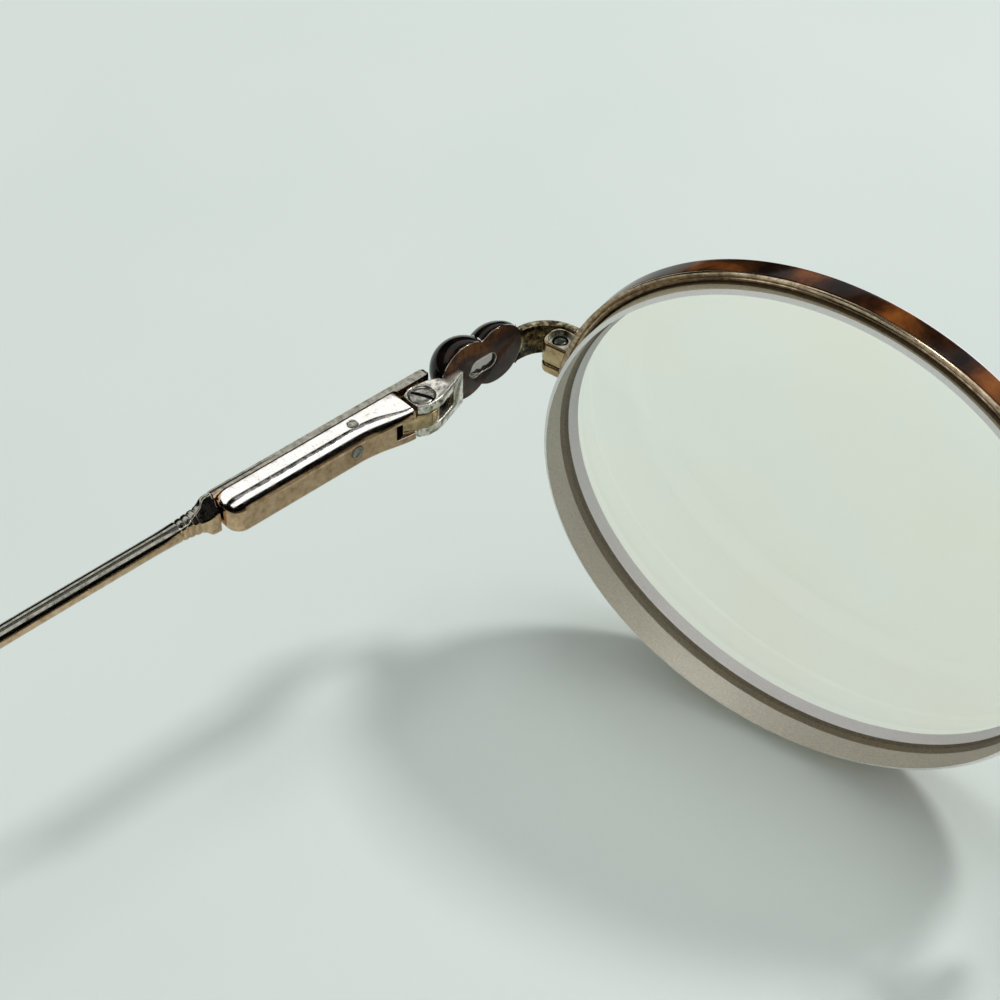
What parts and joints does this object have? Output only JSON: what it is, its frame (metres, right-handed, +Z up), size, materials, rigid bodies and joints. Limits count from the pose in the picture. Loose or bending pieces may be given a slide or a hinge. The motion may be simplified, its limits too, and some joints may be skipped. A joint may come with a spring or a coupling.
{
  "type": "round eyeglasses",
  "caption": "Round metal eyeglasses with tortoise rim covers, domed endpiece links, sprung temples that fold, and rocking nose pads.",
  "frame": {"origin": "middle of the bounding box in X and Y, at the level of the rims' lowest point, where the open glasses stand", "axes": "+X to the wearer's left, +Y from the lenses back along the temples, +Z up"},
  "size_m": [0.141, 0.1526, 0.0442],
  "materials": {
    "rose_gold_plate": "polished rose-gold plate",
    "pale_gold_plate": "polished pale gold plate, worn",
    "worn_brass": "unplated, tarnished",
    "screw_steel": "turned steel",
    "tortoise_acetate": "polished mottled acetate",
    "tinted_lens": "clear, faint beige tint",
    "pad_silicone": "clear soft silicone"
  },
  "bodies": {
    "front": {"bridge": "rose_gold_plate", "left_eyewire": "rose_gold_plate", "left_rim_cover_upper": "tortoise_acetate", "left_rim_cover_lower": "tortoise_acetate", "left_lens": "tinted_lens", "left_closing_block_upper": "rose_gold_plate", "left_closing_block_lower": "rose_gold_plate", "left_rim_lock_screw": "screw_steel", "left_endpiece_strap": "rose_gold_plate", "left_endpiece_link": "pale_gold_plate", "left_front_hinge": "pale_gold_plate", "left_hinge_screw": "screw_steel", "left_pad_arm": "rose_gold_plate", "left_pad_box": "rose_gold_plate", "left_pad_screw": "screw_steel", "right_eyewire": "rose_gold_plate", "right_rim_cover_upper": "tortoise_acetate", "right_rim_cover_lower": "tortoise_acetate", "right_lens": "tinted_lens", "right_closing_block_upper": "rose_gold_plate", "right_closing_block_lower": "rose_gold_plate", "right_rim_lock_screw": "screw_steel", "right_endpiece_strap": "rose_gold_plate", "right_endpiece_link": "pale_gold_plate", "right_front_hinge": "pale_gold_plate", "right_hinge_screw": "screw_steel", "right_pad_arm": "rose_gold_plate", "right_pad_box": "rose_gold_plate", "right_pad_screw": "screw_steel"},
    "left_knuckle": {"left_hinge_tongue": "worn_brass", "left_spring_rod": "screw_steel", "left_rod_nut": "worn_brass"},
    "left_temple": {"left_spring_box": "pale_gold_plate", "left_spring_stop": "worn_brass", "left_stop_rivet": "screw_steel", "left_stop_stud": "worn_brass", "left_coil_spring": "screw_steel", "left_temple_bar": "rose_gold_plate", "left_temple_tip": "tortoise_acetate"},
    "left_pad": {"left_nose_pad": "pad_silicone"},
    "right_knuckle": {"right_hinge_tongue": "worn_brass", "right_spring_rod": "screw_steel", "right_rod_nut": "worn_brass"},
    "right_temple": {"right_spring_box": "pale_gold_plate", "right_spring_stop": "worn_brass", "right_stop_rivet": "screw_steel", "right_stop_stud": "worn_brass", "right_coil_spring": "screw_steel", "right_temple_bar": "rose_gold_plate", "right_temple_tip": "tortoise_acetate"},
    "right_pad": {"right_nose_pad": "pad_silicone"}
  },
  "joints": [
    {"name": "left_fold", "type": "hinge", "parent": "front", "child": "left_knuckle", "pos_m": [0.06126, -0.05593, 0.02805], "axis": [0, 0, 1], "range_deg": [-6, 94.5]},
    {"name": "left_spring_travel", "type": "slide", "parent": "left_knuckle", "child": "left_temple", "axis": [0.0854, 0.9963, 0], "range_m": [0, 0.0008], "stiffness_N_per_m": 1500},
    {"name": "left_pad_rock", "type": "hinge", "parent": "front", "child": "left_pad", "pos_m": [0.00845, -0.06696, 0.01931], "axis": [0.3939, 0.9191, 0], "range_deg": [-10, 10]},
    {"name": "right_fold", "type": "hinge", "parent": "front", "child": "right_knuckle", "pos_m": [-0.06126, -0.05593, 0.02805], "axis": [0, 0, -1], "range_deg": [-6, 90]},
    {"name": "right_spring_travel", "type": "slide", "parent": "right_knuckle", "child": "right_temple", "axis": [-0.0854, 0.9963, 0], "range_m": [0, 0.0008], "stiffness_N_per_m": 1500},
    {"name": "right_pad_rock", "type": "hinge", "parent": "front", "child": "right_pad", "pos_m": [-0.00845, -0.06696, 0.01931], "axis": [-0.3939, 0.9191, 0], "range_deg": [-10, 10]}
  ]
}
